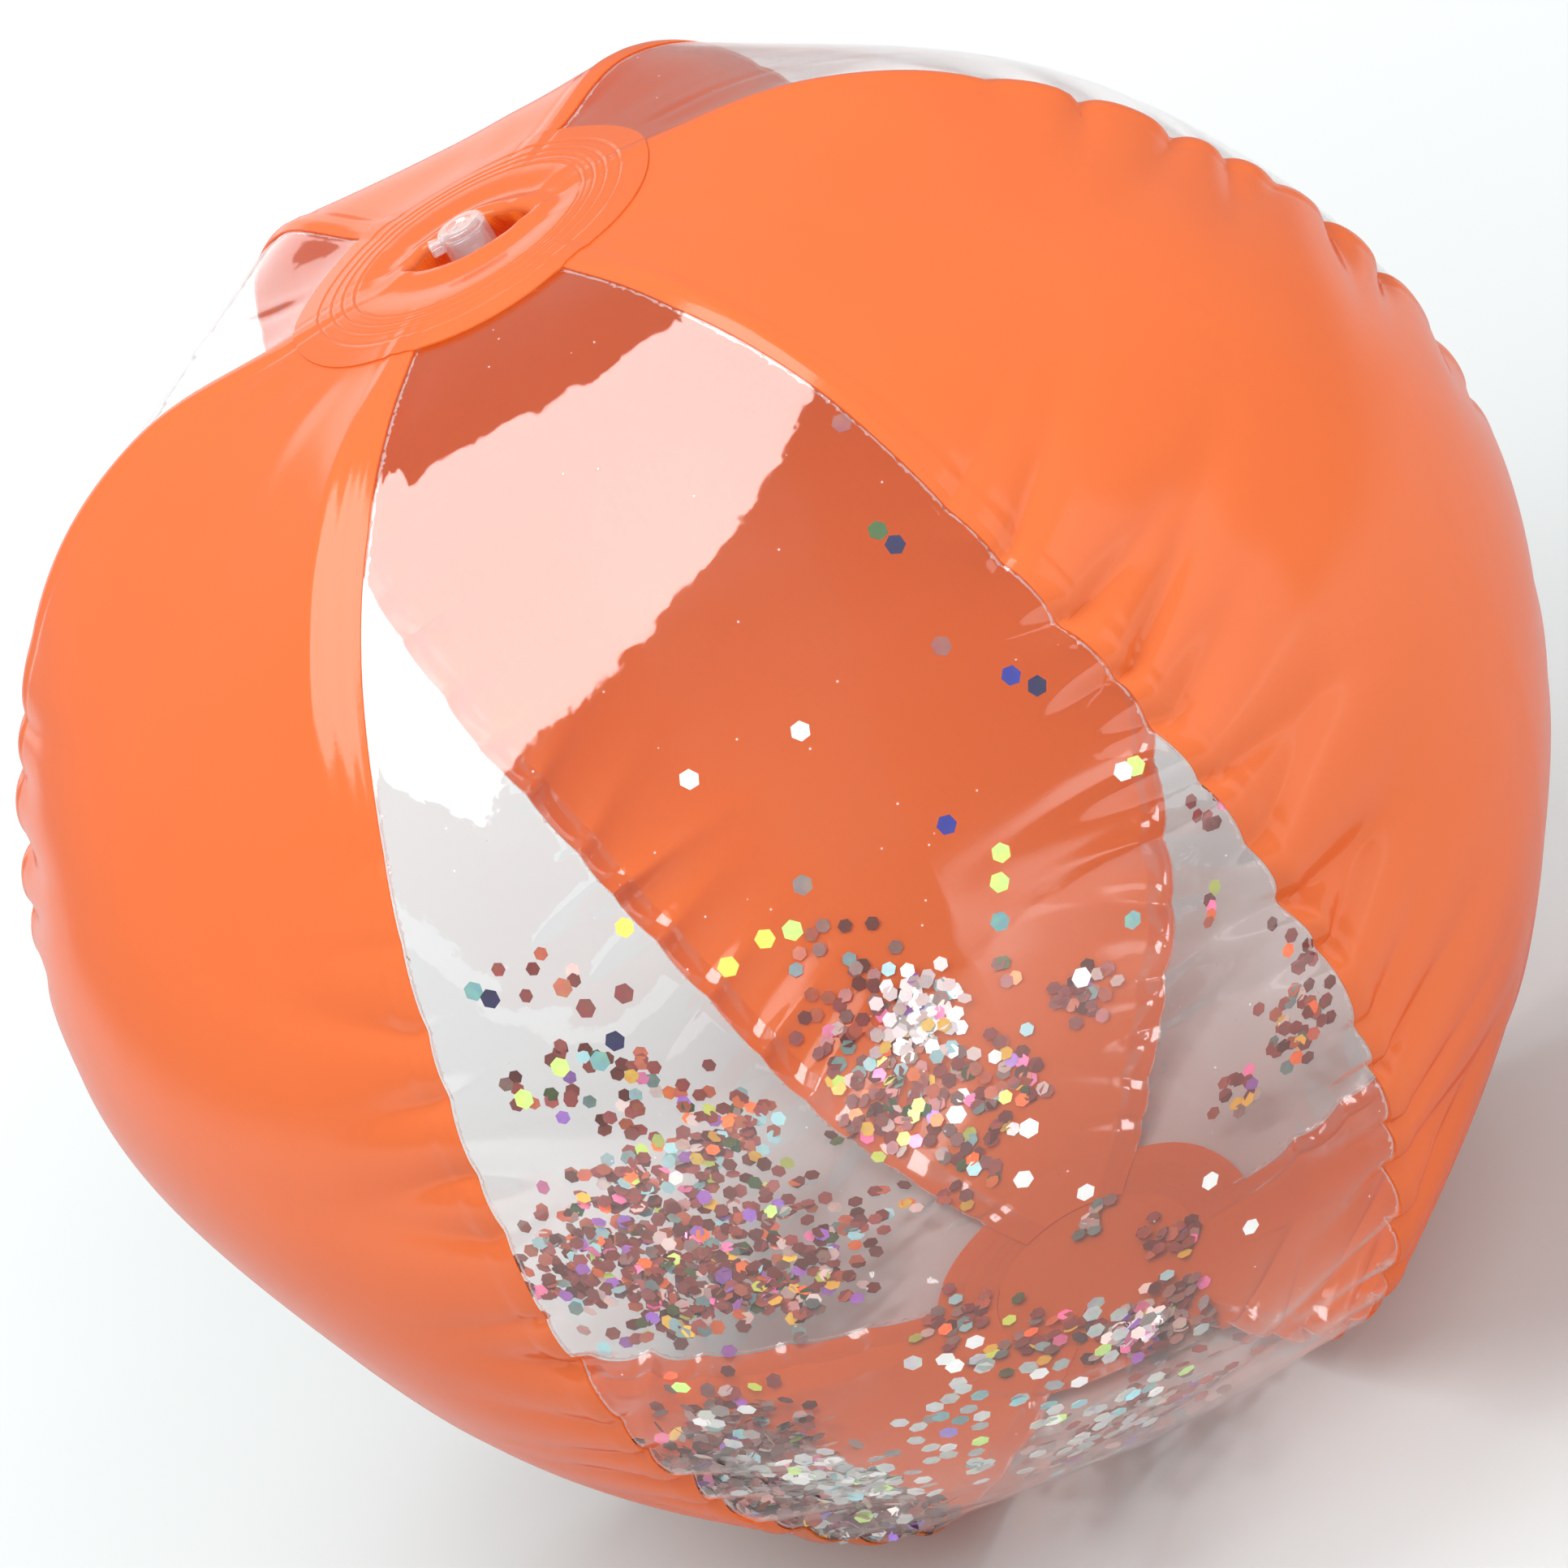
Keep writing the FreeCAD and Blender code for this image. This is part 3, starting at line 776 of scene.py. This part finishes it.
def make_cuff():
    """The soft cuff that forms the recess wall, from the disc's oval lip to the round floor."""
    headings = np.linspace(0, 2 * math.pi, CUFF_COLUMNS, endpoint=False)[None, :]
    share = np.linspace(0, 1, CUFF_ROWS)[:, None]
    lip = np.interp(headings, np.linspace(0, 2 * math.pi, DISC_COLUMNS, endpoint=False), LIP_Z,
                    period=2 * math.pi)
    top = mouth_radius(headings) - 0.02 * MM
    foot = FLANGE_RADIUS - 0.3 * MM
    radius = top + (foot - top) * smooth_step(share)
    height = lip + 0.15 * MM + (FLOOR_Z - lip) * share
    depth = (lip - height) / MM
    band = np.clip(depth / 0.5, 0, 1) * np.clip((3.6 - depth) / 0.8, 0, 1)
    ribs = np.abs(np.cos(RIB_COUNT * headings / 2 + 0.35 * depth)) - 0.6
    folds = 0.30 * np.sin(11 * headings + 0.4) + 0.22 * np.sin(17 * headings)
    radius = radius + (0.2 * ribs * band + folds * np.sin(math.pi * share)) * MM
    outer = np.stack([radius * np.cos(headings), radius * np.sin(headings), height], -1)
    wider = radius + FILM
    inner = np.stack([wider * np.cos(headings), wider * np.sin(headings), height], -1)
    piece = disc_mesh("valve_cuff_film", inner, outer, -1, ORANGE, closed=False)
    # Painted light: the whole cuff takes the inner face's painted brighter colour, which lights up the
    # recess wall.
    piece.data.attributes["film_inside"].data.foreach_set("value", [1.0] * len(piece.data.vertices))
    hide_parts("valve_cuff")
    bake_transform(piece)


def make_floor_film():
    """The orange film welded over the valve's flange, the floor of the recess."""
    rise = FLOOR_Z + 0.05 * MM
    outline = [(STEM_TUBE + 0.05 * MM, rise), (STEM_TUBE + 0.05 * MM, rise + FILM),
               (6.0 * MM, rise + FILM + 0.25 * MM), (8.0 * MM, rise + FILM + 0.15 * MM),
               (9.3 * MM, rise + FILM), (9.3 * MM, rise)]
    piece = turned_piece("recess_floor_film", outline[::-1], 120, ORANGE)
    return settle(piece, "valve", "orange_film")


STEM_TUBE = 4.1 * MM


def make_stem():
    """The clear stem with its flange, rounded as soft moulded vinyl is."""
    low, high = STEM_LOW[2], STEM_TOP
    flange_low = FLOOR_Z - 0.8 * MM
    seat = 3.2 * MM
    roll = 0.35 * MM
    outline = [(BORE_RADIUS, low + 0.2 * MM)]
    outline += arc_points((BORE_RADIUS + roll, low + roll), roll, 180, 270, 4)
    outline += arc_points((STEM_TUBE - roll, low + roll), roll, 270, 360, 5)
    outline += [(STEM_TUBE, flange_low - 0.5 * MM)]
    outline += arc_points((STEM_TUBE + 0.5 * MM, flange_low - 0.5 * MM), 0.5 * MM, 180, 90, 4)
    outline += arc_points((FLANGE_RADIUS - 0.4 * MM, flange_low + 0.4 * MM), 0.4 * MM, 270, 450, 8)
    outline += [(STEM_TUBE + 0.3 * MM, FLOOR_Z - 0.02 * MM), (STEM_TUBE, FLOOR_Z + 0.3 * MM)]
    outline += [(STEM_TUBE, FLOOR_Z + 3 * MM), (STEM_TUBE, high - 1.2 * MM)]
    outline += arc_points((STEM_TUBE - roll, high - roll), roll, 0, 90, 5)
    outline += arc_points((seat + 0.2 * MM, high - 0.2 * MM), 0.2 * MM, 90, 180, 4)
    outline += [(seat, high - 4.9 * MM), (BORE_RADIUS, high - 5.1 * MM)]
    piece = turned_piece("valve_stem_moulding", outline[::-1], 96, MOULDED)
    return settle(piece, "valve", "clear_vinyl", "valve_stem")


def rounded_block(name, low, high, roll, material):
    """A block with rounded edges between two corners, built in mesh code."""
    corners = [(x, y, z) for z in (low[2], high[2]) for y in (low[1], high[1])
               for x in (low[0], high[0])]
    faces = [(0, 2, 3, 1), (4, 5, 7, 6), (0, 1, 5, 4), (2, 6, 7, 3), (0, 4, 6, 2), (1, 3, 7, 5)]
    piece = add_mesh(name, corners, faces, material)
    bevel = piece.modifiers.new("round", "BEVEL")
    bevel.width = roll
    bevel.segments = 3
    return piece


def make_lugs():
    """The two lugs on the stem that carry the living hinges."""
    plug_lug = rounded_block("plug_hinge_lug", (-6.0 * MM, -1.5 * MM, STEM_TOP - 1.4 * MM),
                             (-3.7 * MM, 1.5 * MM, STEM_TOP), 0.3 * MM, MOULDED)
    settle(plug_lug, "valve", "clear_vinyl")
    flap_lug = rounded_block("flap_hinge_lug", (-4.9 * MM, -1.5 * MM, STEM_LOW[2]),
                             (-3.7 * MM, 1.5 * MM, STEM_LOW[2] + 1.4 * MM), 0.25 * MM, MOULDED)
    settle(flap_lug, "valve", "clear_vinyl")


def make_plug():
    """The plug: a dished head with a soft edge on a tapered shank."""
    low, high = PLUG_LOW[2], PLUG_HIGH[2]
    head = STEM_TOP + 0.05 * MM
    roll = 0.4 * MM
    outline = [(0, low)]
    outline += arc_points((2.0 * MM - roll, low + roll), roll, 270, 350, 5)
    outline += [(3.12 * MM, head)]
    outline += arc_points((PLUG_RADIUS - roll, head + roll), roll, 270, 360, 5)
    outline += arc_points((PLUG_RADIUS - roll, high - roll), roll, 0, 90, 5)
    outline += [(2.4 * MM, high - 0.05 * MM), (2.0 * MM, high - 0.45 * MM), (0, high - 0.5 * MM)]
    piece = turned_piece("valve_plug_moulding", outline[::-1], 72, MOULDED)
    return settle(piece, "plug", "clear_vinyl", "valve_plug")


def make_strap():
    """The plug's strap between the stem's lug and the plug, narrower in the middle and thinner towards
    the plug.
    """
    low, high = STRAP_LOW, STRAP_HIGH
    xs = np.linspace(low[0], high[0] + 0.5 * MM, 14)
    ys = np.linspace(low[1], high[1], 9)
    top, base = [], []
    middle = (low[2] + high[2]) / 2
    for x in xs:
        along = math.pi * (x - xs[0]) / (xs[-1] - xs[0])
        waist = 1.0 - 0.22 * math.sin(along)
        thick = 0.25 * MM * (0.75 + 0.25 * math.cos(along))
        top.append([(x, y * waist, middle + thick) for y in ys])
        base.append([(x, y * waist, middle - thick) for y in ys])
    piece = sheet_piece("plug_strap_moulding", np.array(top), np.array(base), MOULDED)
    return settle(piece, "plug", "clear_vinyl", "plug_strap")


make_cuff()
make_floor_film()
make_stem()
make_lugs()
make_plug()
make_strap()
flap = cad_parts["check_flap"]
flap.data.materials.clear()
flap.data.materials.append(MOULDED)


# ---------------------------------------------------------------- glitter

FLAKE_RADIUS = 1.5 * MM
FLAKE_THICKNESS = 0.05 * MM
SEED_GLITTER = 12

# Flake colours. Brown, umber, mauve, copper and grey-brown are painted shade and painted orange
# reflection on silvery film; white and pale are painted highlight.
SILVER = (0.52, 0.53, 0.51)
PALE = (0.74, 0.74, 0.73)
WHITE = (0.90, 0.97, 1.00)
BROWN = (0.27, 0.085, 0.075)
UMBER = (0.15, 0.045, 0.035)
MAUVE = (0.36, 0.13, 0.12)
COPPER = (0.52, 0.20, 0.12)
GREY_BROWN = (0.33, 0.26, 0.24)
YELLOW = (0.90, 0.75, 0.15)
LIME = (0.62, 0.86, 0.26)
GREEN = (0.08, 0.16, 0.06)
TEAL = (0.22, 0.42, 0.42)
CYAN = (0.42, 0.78, 0.82)
BLUE = (0.03, 0.04, 0.30)
NAVY = (0.03, 0.03, 0.10)
PURPLE = (0.40, 0.24, 0.72)
PINK = (0.90, 0.38, 0.68)
FLAME = (0.92, 0.33, 0.10)

# Painted light and shade of the holographic film, as (share, colour): painted shade turned away from
# the light, painted highlight towards it, lying flat on the near wall, and piled up with painted shade.
WARM_SHADE = [(26, BROWN), (12, UMBER), (20, MAUVE), (13, COPPER), (6, GREY_BROWN), (3, YELLOW),
        (3, LIME), (3, GREEN), (3, TEAL), (4, CYAN), (4, PURPLE), (3, PINK), (5, FLAME), (7, PALE)]
BRIGHT = [(76, WHITE), (12, PALE), (8, SILVER), (5, CYAN), (4, PURPLE), (3, YELLOW), (4, TEAL),
          (3, PINK)]
FLAT = [(48, SILVER), (18, PALE), (7, TEAL), (8, GREY_BROWN), (3, LIME), (3, PURPLE), (3, CYAN)]
PILED = [(22, GREY_BROWN), (26, UMBER), (12, SILVER), (14, BROWN), (6, PALE), (8, MAUVE),
         (1, YELLOW), (3, PINK), (2, CYAN), (2, PURPLE), (1, LIME)]
DUSKY = [(30, MAUVE), (20, GREY_BROWN), (20, SILVER), (14, BROWN), (6, PALE), (3, PURPLE)]

# Each patch: node it belongs to, colours, latitude, heading, spread along and across in
# millimetres, number of flakes, how deep they pile up in millimetres, and their tilt in degrees.
PATCHES = [
    ("glitter_heap", PILED, -52, -140, 14, 26, 560, 4.0, 25),
    ("glitter_heap", PILED, -60, -162, 12, 22, 180, 2.0, 16),
    ("glitter_heap", PILED, -45, -119, 14, 10, 240, 2.4, 20),
    ("glitter_heap", PILED, -57, -126, 10, 12, 150, 2.0, 18),
    ("glitter_heap", PILED, -26, -115, 13, 5, 110, 1.4, 14),
    ("glitter_heap", FLAT, -29, -109, 15, 8, 100, 0.5, 7),
    ("glitter_heap", FLAT, -14, -112, 6, 5, 9, 0.1, 3),
    ("glitter_front", FLAT, -21, -93, 17, 20, 44, 0.1, 3),
    ("glitter_front", FLAT, -33, -90, 14, 20, 42, 0.1, 3),
    ("glitter_front", FLAT, -50, -96, 12, 16, 30, 0.1, 3),
    ("glitter_front", DUSKY, -66, -88, 16, 20, 120, 0.4, 6),
    ("glitter_left", WARM_SHADE, -52, 150, 17, 26, 300, 1.2, 12),
    ("glitter_left", WARM_SHADE, -61, 151, 12, 20, 130, 0.7, 9),
    ("glitter_left", WARM_SHADE, -69, 143, 8, 15, 60, 0.3, 6),
    ("glitter_left", WARM_SHADE, -45, 161, 8, 15, 80, 0.9, 10),
    ("glitter_left", WARM_SHADE, -55, 162, 9, 13, 85, 0.9, 9),
    ("glitter_left", WARM_SHADE, -66, 158, 7, 9, 44, 0.5, 7),
    ("glitter_left", WARM_SHADE, -52, 132, 11, 12, 70, 0.3, 5),
    ("glitter_left", WARM_SHADE, -42, 134, 8, 12, 26, 0.1, 3),
    ("glitter_left", WARM_SHADE, -35, 139, 9, 13, 16, 0.1, 3),
    ("glitter_left", WARM_SHADE, -29, 131, 8, 8, 6, 0.1, 3),
    ("glitter_back", BRIGHT, -57, 99, 8.5, 9, 88, 1.4, 12),
    ("glitter_back", WARM_SHADE, -62, 111, 12, 12, 92, 0.4, 7),
    ("glitter_back", WARM_SHADE, -67, 91, 9, 8, 40, 0.3, 6),
    ("glitter_back", WARM_SHADE, -55, 108, 10, 13, 44, 0.2, 5),
    ("glitter_back", WARM_SHADE, -72, 106, 8, 9, 34, 0.2, 4),
    ("glitter_back", WARM_SHADE, -47, 103, 9, 15, 15, 0.1, 3),
    ("glitter_back", WARM_SHADE, -62, 73, 6, 7, 30, 0.2, 4),
    ("glitter_back", WARM_SHADE, -57, 84, 3, 4, 4, 0.1, 3),
    ("glitter_right", WARM_SHADE, -47, 52, 4, 5, 12, 0.2, 4),
    ("glitter_right", WARM_SHADE, -56, 52, 4, 3, 5, 0.1, 3),
    ("glitter_right", WARM_SHADE, -61, 29, 9, 10, 16, 0.1, 3),
    ("glitter_right", WARM_SHADE, -67, 24, 8, 9, 32, 0.2, 4),
    ("glitter_right", WARM_SHADE, -74, 29, 5, 5, 14, 0.1, 3),
    ("glitter_bottom", WARM_SHADE, -87, -10, 5, 6, 20, 0.4, 6),
    ("glitter_bottom", FLAT, -88, 75, 5, 5, 9, 0.1, 3),
    ("glitter_bottom", BRIGHT, -84, -78, 5, 5, 40, 1.3, 14),
    ("glitter_bottom", PILED, -83, -74, 10, 11, 96, 1.0, 11),
    ("glitter_bottom", WARM_SHADE, -86, -150, 10, 10, 34, 0.3, 5),
    ("glitter_bottom", WARM_SHADE, -81, 172, 8, 8, 22, 0.2, 4),
]

# Flakes that cling to the near wall by themselves: colour, latitude and heading.
STRAYS = [
    (GREEN, 43.6, -66.5), (NAVY, 42.0, -66.2), (MAUVE, 34.2, -68.5), (BLUE, 29.3, -66.0),
    (NAVY, 27.5, -65.0), (BLUE, 23.5, -76.0), (PALE, 35.0, -81.0), (WHITE, 36.0, -90.0),
    (LIME, 19.5, -74.0), (LIME, 17.8, -75.2), (TEAL, 15.4, -76.6), (TEAL, 9.0, -69.0),
    (PALE, 18.5, -63.8), (LIME, 18.2, -62.9), (GREY_BROWN, 25.4, -86.5), (YELLOW, 28.4, -99.0),
    (YELLOW, 22.7, -93.6), (YELLOW, 23.3, -90.5), (LIME, 22.9, -88.6), (COPPER, 26.0, -105.0),
    (BROWN, 24.0, -104.0), (BROWN, 24.0, -101.0), (NAVY, 21.0, -103.0), (TEAL, 27.8, -111.6),
    (NAVY, 26.9, -110.6), (LIME, 20.5, -107.5), (TEAL, 20.0, -104.6), (LIME, 19.0, -111.0),
    (PALE, -7.0, -81.0), (PALE, -3.0, -84.0), (PALE, -13.8, -73.2), (PALE, -20.6, -72.0),
    (WHITE, 4.6, -85.5), (WHITE, 0.4, -82.0), (PALE, 8.0, -74.0), (PALE, -15.0, -95.0),
    (PALE, -14.6, -92.6), (MAUVE, 51.3, -62.0), (LIME, -9.8, -112.8),
]


def wall_frames(arc, heading, lift):
    """Points inside the wall with the local outward direction and two directions along it."""
    step = 0.002
    here = wall_point(arc, heading, lift)
    north = wall_point(arc + step, heading, lift) - here
    east = wall_point(arc, heading + step, lift) - here
    north /= np.linalg.norm(north, axis=-1, keepdims=True)
    east -= north * (east * north).sum(-1, keepdims=True)
    east /= np.linalg.norm(east, axis=-1, keepdims=True)
    return here, np.cross(east, north), east, north


def scatter(rng, latitude, heading, along, across, count):
    """Arc angles and headings of flakes strewn round a place, denser in its middle."""
    radius = np.sqrt(rng.uniform(0, 1, count)) * rng.uniform(0.55, 1.45, count)
    turn = rng.uniform(0, 2 * math.pi, count)
    core = BOTTOM_CORE if latitude < 0 else TOP_CORE
    arc = math.radians(latitude) + radius * np.sin(turn) * along * MM / (EQUATOR - core)
    ring = np.maximum(ring_radius(arc), 12 * MM)
    lon = math.radians(heading) + radius * np.cos(turn) * across * MM / ring
    over = arc < -math.pi / 2
    arc = np.where(over, -math.pi - arc, arc)
    lon = np.where(over, lon + math.pi, lon)
    return np.clip(arc, -1.56, 1.4), lon


def pick_colours(rng, palette, count):
    """A colour for each flake, with a little unevenness in how bright it is."""
    shares = np.array([share for share, _ in palette], float)
    chosen = rng.choice(len(palette), count, p=shares / shares.sum())
    colours = np.array([colour for _, colour in palette])[chosen]
    return np.clip(colours * rng.uniform(0.6, 1.1, (count, 1)), 0, 1)


def lay_flakes(rng, arc, lon, pile, tilt, points, faces):
    """Adds thin hexagonal prisms that lie against the wall's inner face."""
    count = len(arc)
    lift = -2 * FILM - WELD_GAP - 0.12 * MM - rng.uniform(0, 1, count) ** 1.5 * pile * MM
    place, outward, east, north = wall_frames(arc, lon, lift)
    for index in range(count):
        spin = rng.uniform(0, math.pi / 3)
        lean = np.radians(rng.normal(0, tilt, 2))
        axis = outward[index] + math.tan(lean[0]) * east[index] + math.tan(lean[1]) * north[index]
        axis /= np.linalg.norm(axis)
        side = np.cross(north[index], axis)
        side /= np.linalg.norm(side)
        front = np.cross(axis, side)
        size = FLAKE_RADIUS * rng.uniform(1.0, 1.08)
        start = len(points)
        for height in (0.0, -FLAKE_THICKNESS):
            for corner in range(6):
                angle = spin + corner * math.pi / 3
                points.append(place[index] + axis * height
                              + side * size * math.cos(angle) + front * size * math.sin(angle))
        faces.append(tuple(range(start, start + 6)))
        faces.append(tuple(range(start + 11, start + 5, -1)))
        for corner in range(6):
            after = (corner + 1) % 6
            faces.append((start + corner, start + 6 + corner, start + 6 + after, start + after))


def glitter_piece(name, node, points, faces, colours):
    """A mesh of flakes with one colour for each flake."""
    piece = add_mesh(name, points, faces, GLITTER, sharp=20)
    layer = piece.data.color_attributes.new("flake_colour", "FLOAT_COLOR", "POINT")
    shades = np.ones((len(points), 4))
    shades[:, :3] = np.repeat(colours, 12, axis=0)
    layer.data.foreach_set("color", shades.ravel())
    return settle(piece, "shell", "glitter", node)


def make_glitter():
    """One piece for each glitter node, and one for the flakes that cling by themselves."""
    rng = np.random.default_rng(SEED_GLITTER)
    for node in sorted({patch[0] for patch in PATCHES}):
        points, faces, colours = [], [], []
        for _, palette, latitude, heading, along, across, count, pile, tilt in (
                patch for patch in PATCHES if patch[0] == node):
            arc, lon = scatter(rng, latitude, heading, along, across, count)
            lay_flakes(rng, arc, lon, pile, tilt, points, faces)
            colours.append(pick_colours(rng, palette, count))
        glitter_piece(node + "_flakes", node, points, faces, np.concatenate(colours))
    points, faces = [], []
    places = np.radians([(latitude, heading) for _, latitude, heading in STRAYS])
    lay_flakes(rng, places[:, 0], places[:, 1], 0.0, 2, points, faces)
    glitter_piece("glitter_strays", "glitter_front", points, faces,
                  np.array([colour for colour, _, _ in STRAYS]))


make_glitter()


# ---------------------------------------------------------------- stage, lights and camera

def make_floor():
    """A plain pale floor, far larger than the view."""
    half = 3.0
    level = BASE_Z - 0.2 * MM
    corners = [(-half, -half), (half, -half), (half, half), (-half, half)]
    floor = add_mesh("studio_floor", [(x, y, level) for x, y in corners], [(0, 1, 2, 3)], plain_floor())


def add_light(name, direction, distance, size, radiance, target=(0, 0), spin=0.0, mirrored=True):
    """A soft box aimed at the ball, given its face's radiance and whether gloss shows it."""
    light = bpy.data.lights.new(name, "AREA")
    light.shape = "RECTANGLE"
    light.size, light.size_y = size
    light.energy = radiance * math.pi * size[0] * size[1]
    lamp = bpy.data.objects.new(name, light)
    towards = Vector(direction).normalized()
    centre = Vector((target[0], target[1], EQUATOR_Z))
    aim = towards.to_track_quat("Z", "Y").to_matrix() @ Matrix.Rotation(spin, 3, "Z")
    lamp.matrix_world = Matrix.Translation(centre + towards * distance) @ aim.to_4x4()
    lamp.visible_camera = False
    lamp.visible_glossy = mirrored
    bpy.context.scene.collection.objects.link(lamp)


def set_world(strength):
    """Even white light from all round."""
    world = bpy.data.worlds.new("studio_white")
    world.use_nodes = True
    world.node_tree.nodes["Background"].inputs["Color"].default_value = (1, 1, 1, 1)
    world.node_tree.nodes["Background"].inputs["Strength"].default_value = strength
    bpy.context.scene.world = world


CAMERA_AZIMUTH = math.radians(7.1)
CAMERA_ELEVATION = math.radians(28.1)
CAMERA_ROLL = math.radians(31.4)
CAMERA_DISTANCE = 0.74
CAMERA_LENS = 99.7
CAMERA_OFFSET = (-2.1 * MM, -0.9 * MM)


def make_camera():
    """The camera, rolled so that the pole axis leans to the left in its view."""
    azimuth, elevation = CAMERA_AZIMUTH, CAMERA_ELEVATION
    back = Vector((math.sin(azimuth) * math.cos(elevation),
                   -math.cos(azimuth) * math.cos(elevation), math.sin(elevation)))
    level = Vector((math.cos(azimuth), math.sin(azimuth), 0))
    upright = back.cross(level)
    right = level * math.cos(CAMERA_ROLL) - upright * math.sin(CAMERA_ROLL)
    up = back.cross(right)
    place = Vector((0, 0, EQUATOR_Z)) + back * CAMERA_DISTANCE
    place += right * CAMERA_OFFSET[0] + up * CAMERA_OFFSET[1]
    data = bpy.data.cameras.new("camera")
    data.lens = CAMERA_LENS
    data.sensor_width = 36
    data.clip_start = 0.01
    camera = bpy.data.objects.new("camera", data)
    turn = Matrix((right, up, back)).transposed()
    camera.matrix_world = Matrix.Translation(place) @ turn.to_4x4()
    bpy.context.scene.collection.objects.link(camera)
    bpy.context.scene.camera = camera


make_camera()
make_floor()
set_world(0.48)
add_light("key_above", (0, 0, 1), 1.0, (1.13, 0.65), 7.0, (-0.40, -0.22), math.radians(27))
add_light("fill_right", (0.88, -0.42, 0.12), 1.15, (0.45, 1.3), 1.2)
add_light("fill_behind", (-0.36, 0.93, 0.20), 1.5, (0.95, 0.75), 1.25)
add_light("fill_wide", (0.80, -0.70, 0.70), 1.6, (1.8, 1.8), 2.1, mirrored=False)
add_light("fill_left", (-0.90, -0.55, 0.25), 1.3, (1.2, 0.8), 0.7, mirrored=False)
bpy.context.scene.view_settings.view_transform = "Standard"
bpy.context.scene.cycles.transparent_max_bounces = 32
